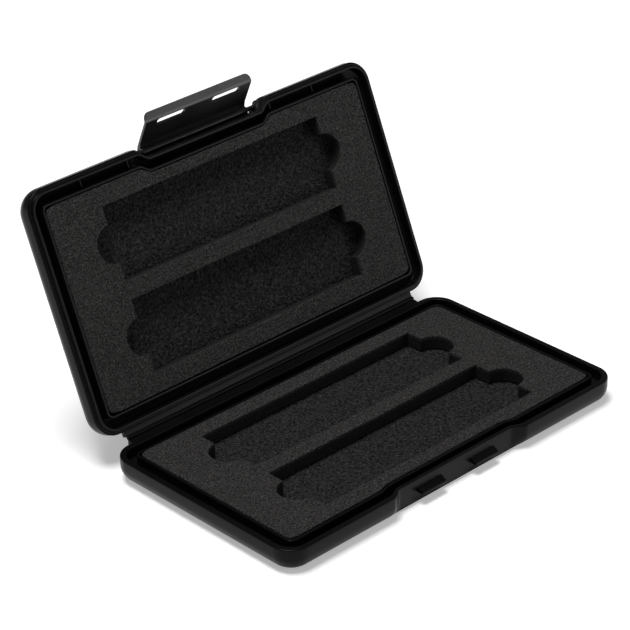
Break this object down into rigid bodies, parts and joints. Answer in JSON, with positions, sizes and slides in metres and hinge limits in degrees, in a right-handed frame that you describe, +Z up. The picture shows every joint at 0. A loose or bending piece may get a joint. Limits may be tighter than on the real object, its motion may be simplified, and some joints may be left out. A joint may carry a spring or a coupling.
{
  "type": "ssd storage box",
  "caption": "Slim hinged plastic box with foam pockets for M.2 drives in the base and the lid, held shut by a flap latch on the front edge.",
  "frame": {"origin": "centre of the base's flat underside", "axes": "+X along the hinge, -Y towards the front with the hooks, +Z up from the surface the base rests on"},
  "size_m": [0.1282, 0.1067, 0.0835],
  "materials": {
    "shell_plastic": "satin black moulded polypropylene",
    "latch_plastic": "satin black moulded plastic",
    "pin_metal": "blackened steel",
    "fine_foam": "charcoal closed-cell foam, fine grain",
    "coarse_foam": "charcoal sponge, coarse open pores"
  },
  "bodies": {
    "base": {"base_shell": "shell_plastic", "hinge_web": "shell_plastic", "base_foam_frame": "fine_foam", "base_foam_pad": "coarse_foam"},
    "lid": {"lid_shell": "shell_plastic", "lid_foam_frame": "fine_foam", "lid_foam_pad": "coarse_foam", "latch_pin": "pin_metal"},
    "latch": {"latch": "latch_plastic"}
  },
  "joints": [
    {"name": "lid_hinge", "type": "hinge", "parent": "base", "child": "lid", "pos_m": [0, 0.0374, 0.00795], "axis": [1, 0, 0], "range_deg": [-67.5, 112.5]},
    {"name": "latch_hinge", "type": "hinge", "parent": "lid", "child": "latch", "pos_m": [0, 0.06927, 0.07117], "axis": [1, 0, 0], "range_deg": [-52.5, 47.5]}
  ]
}
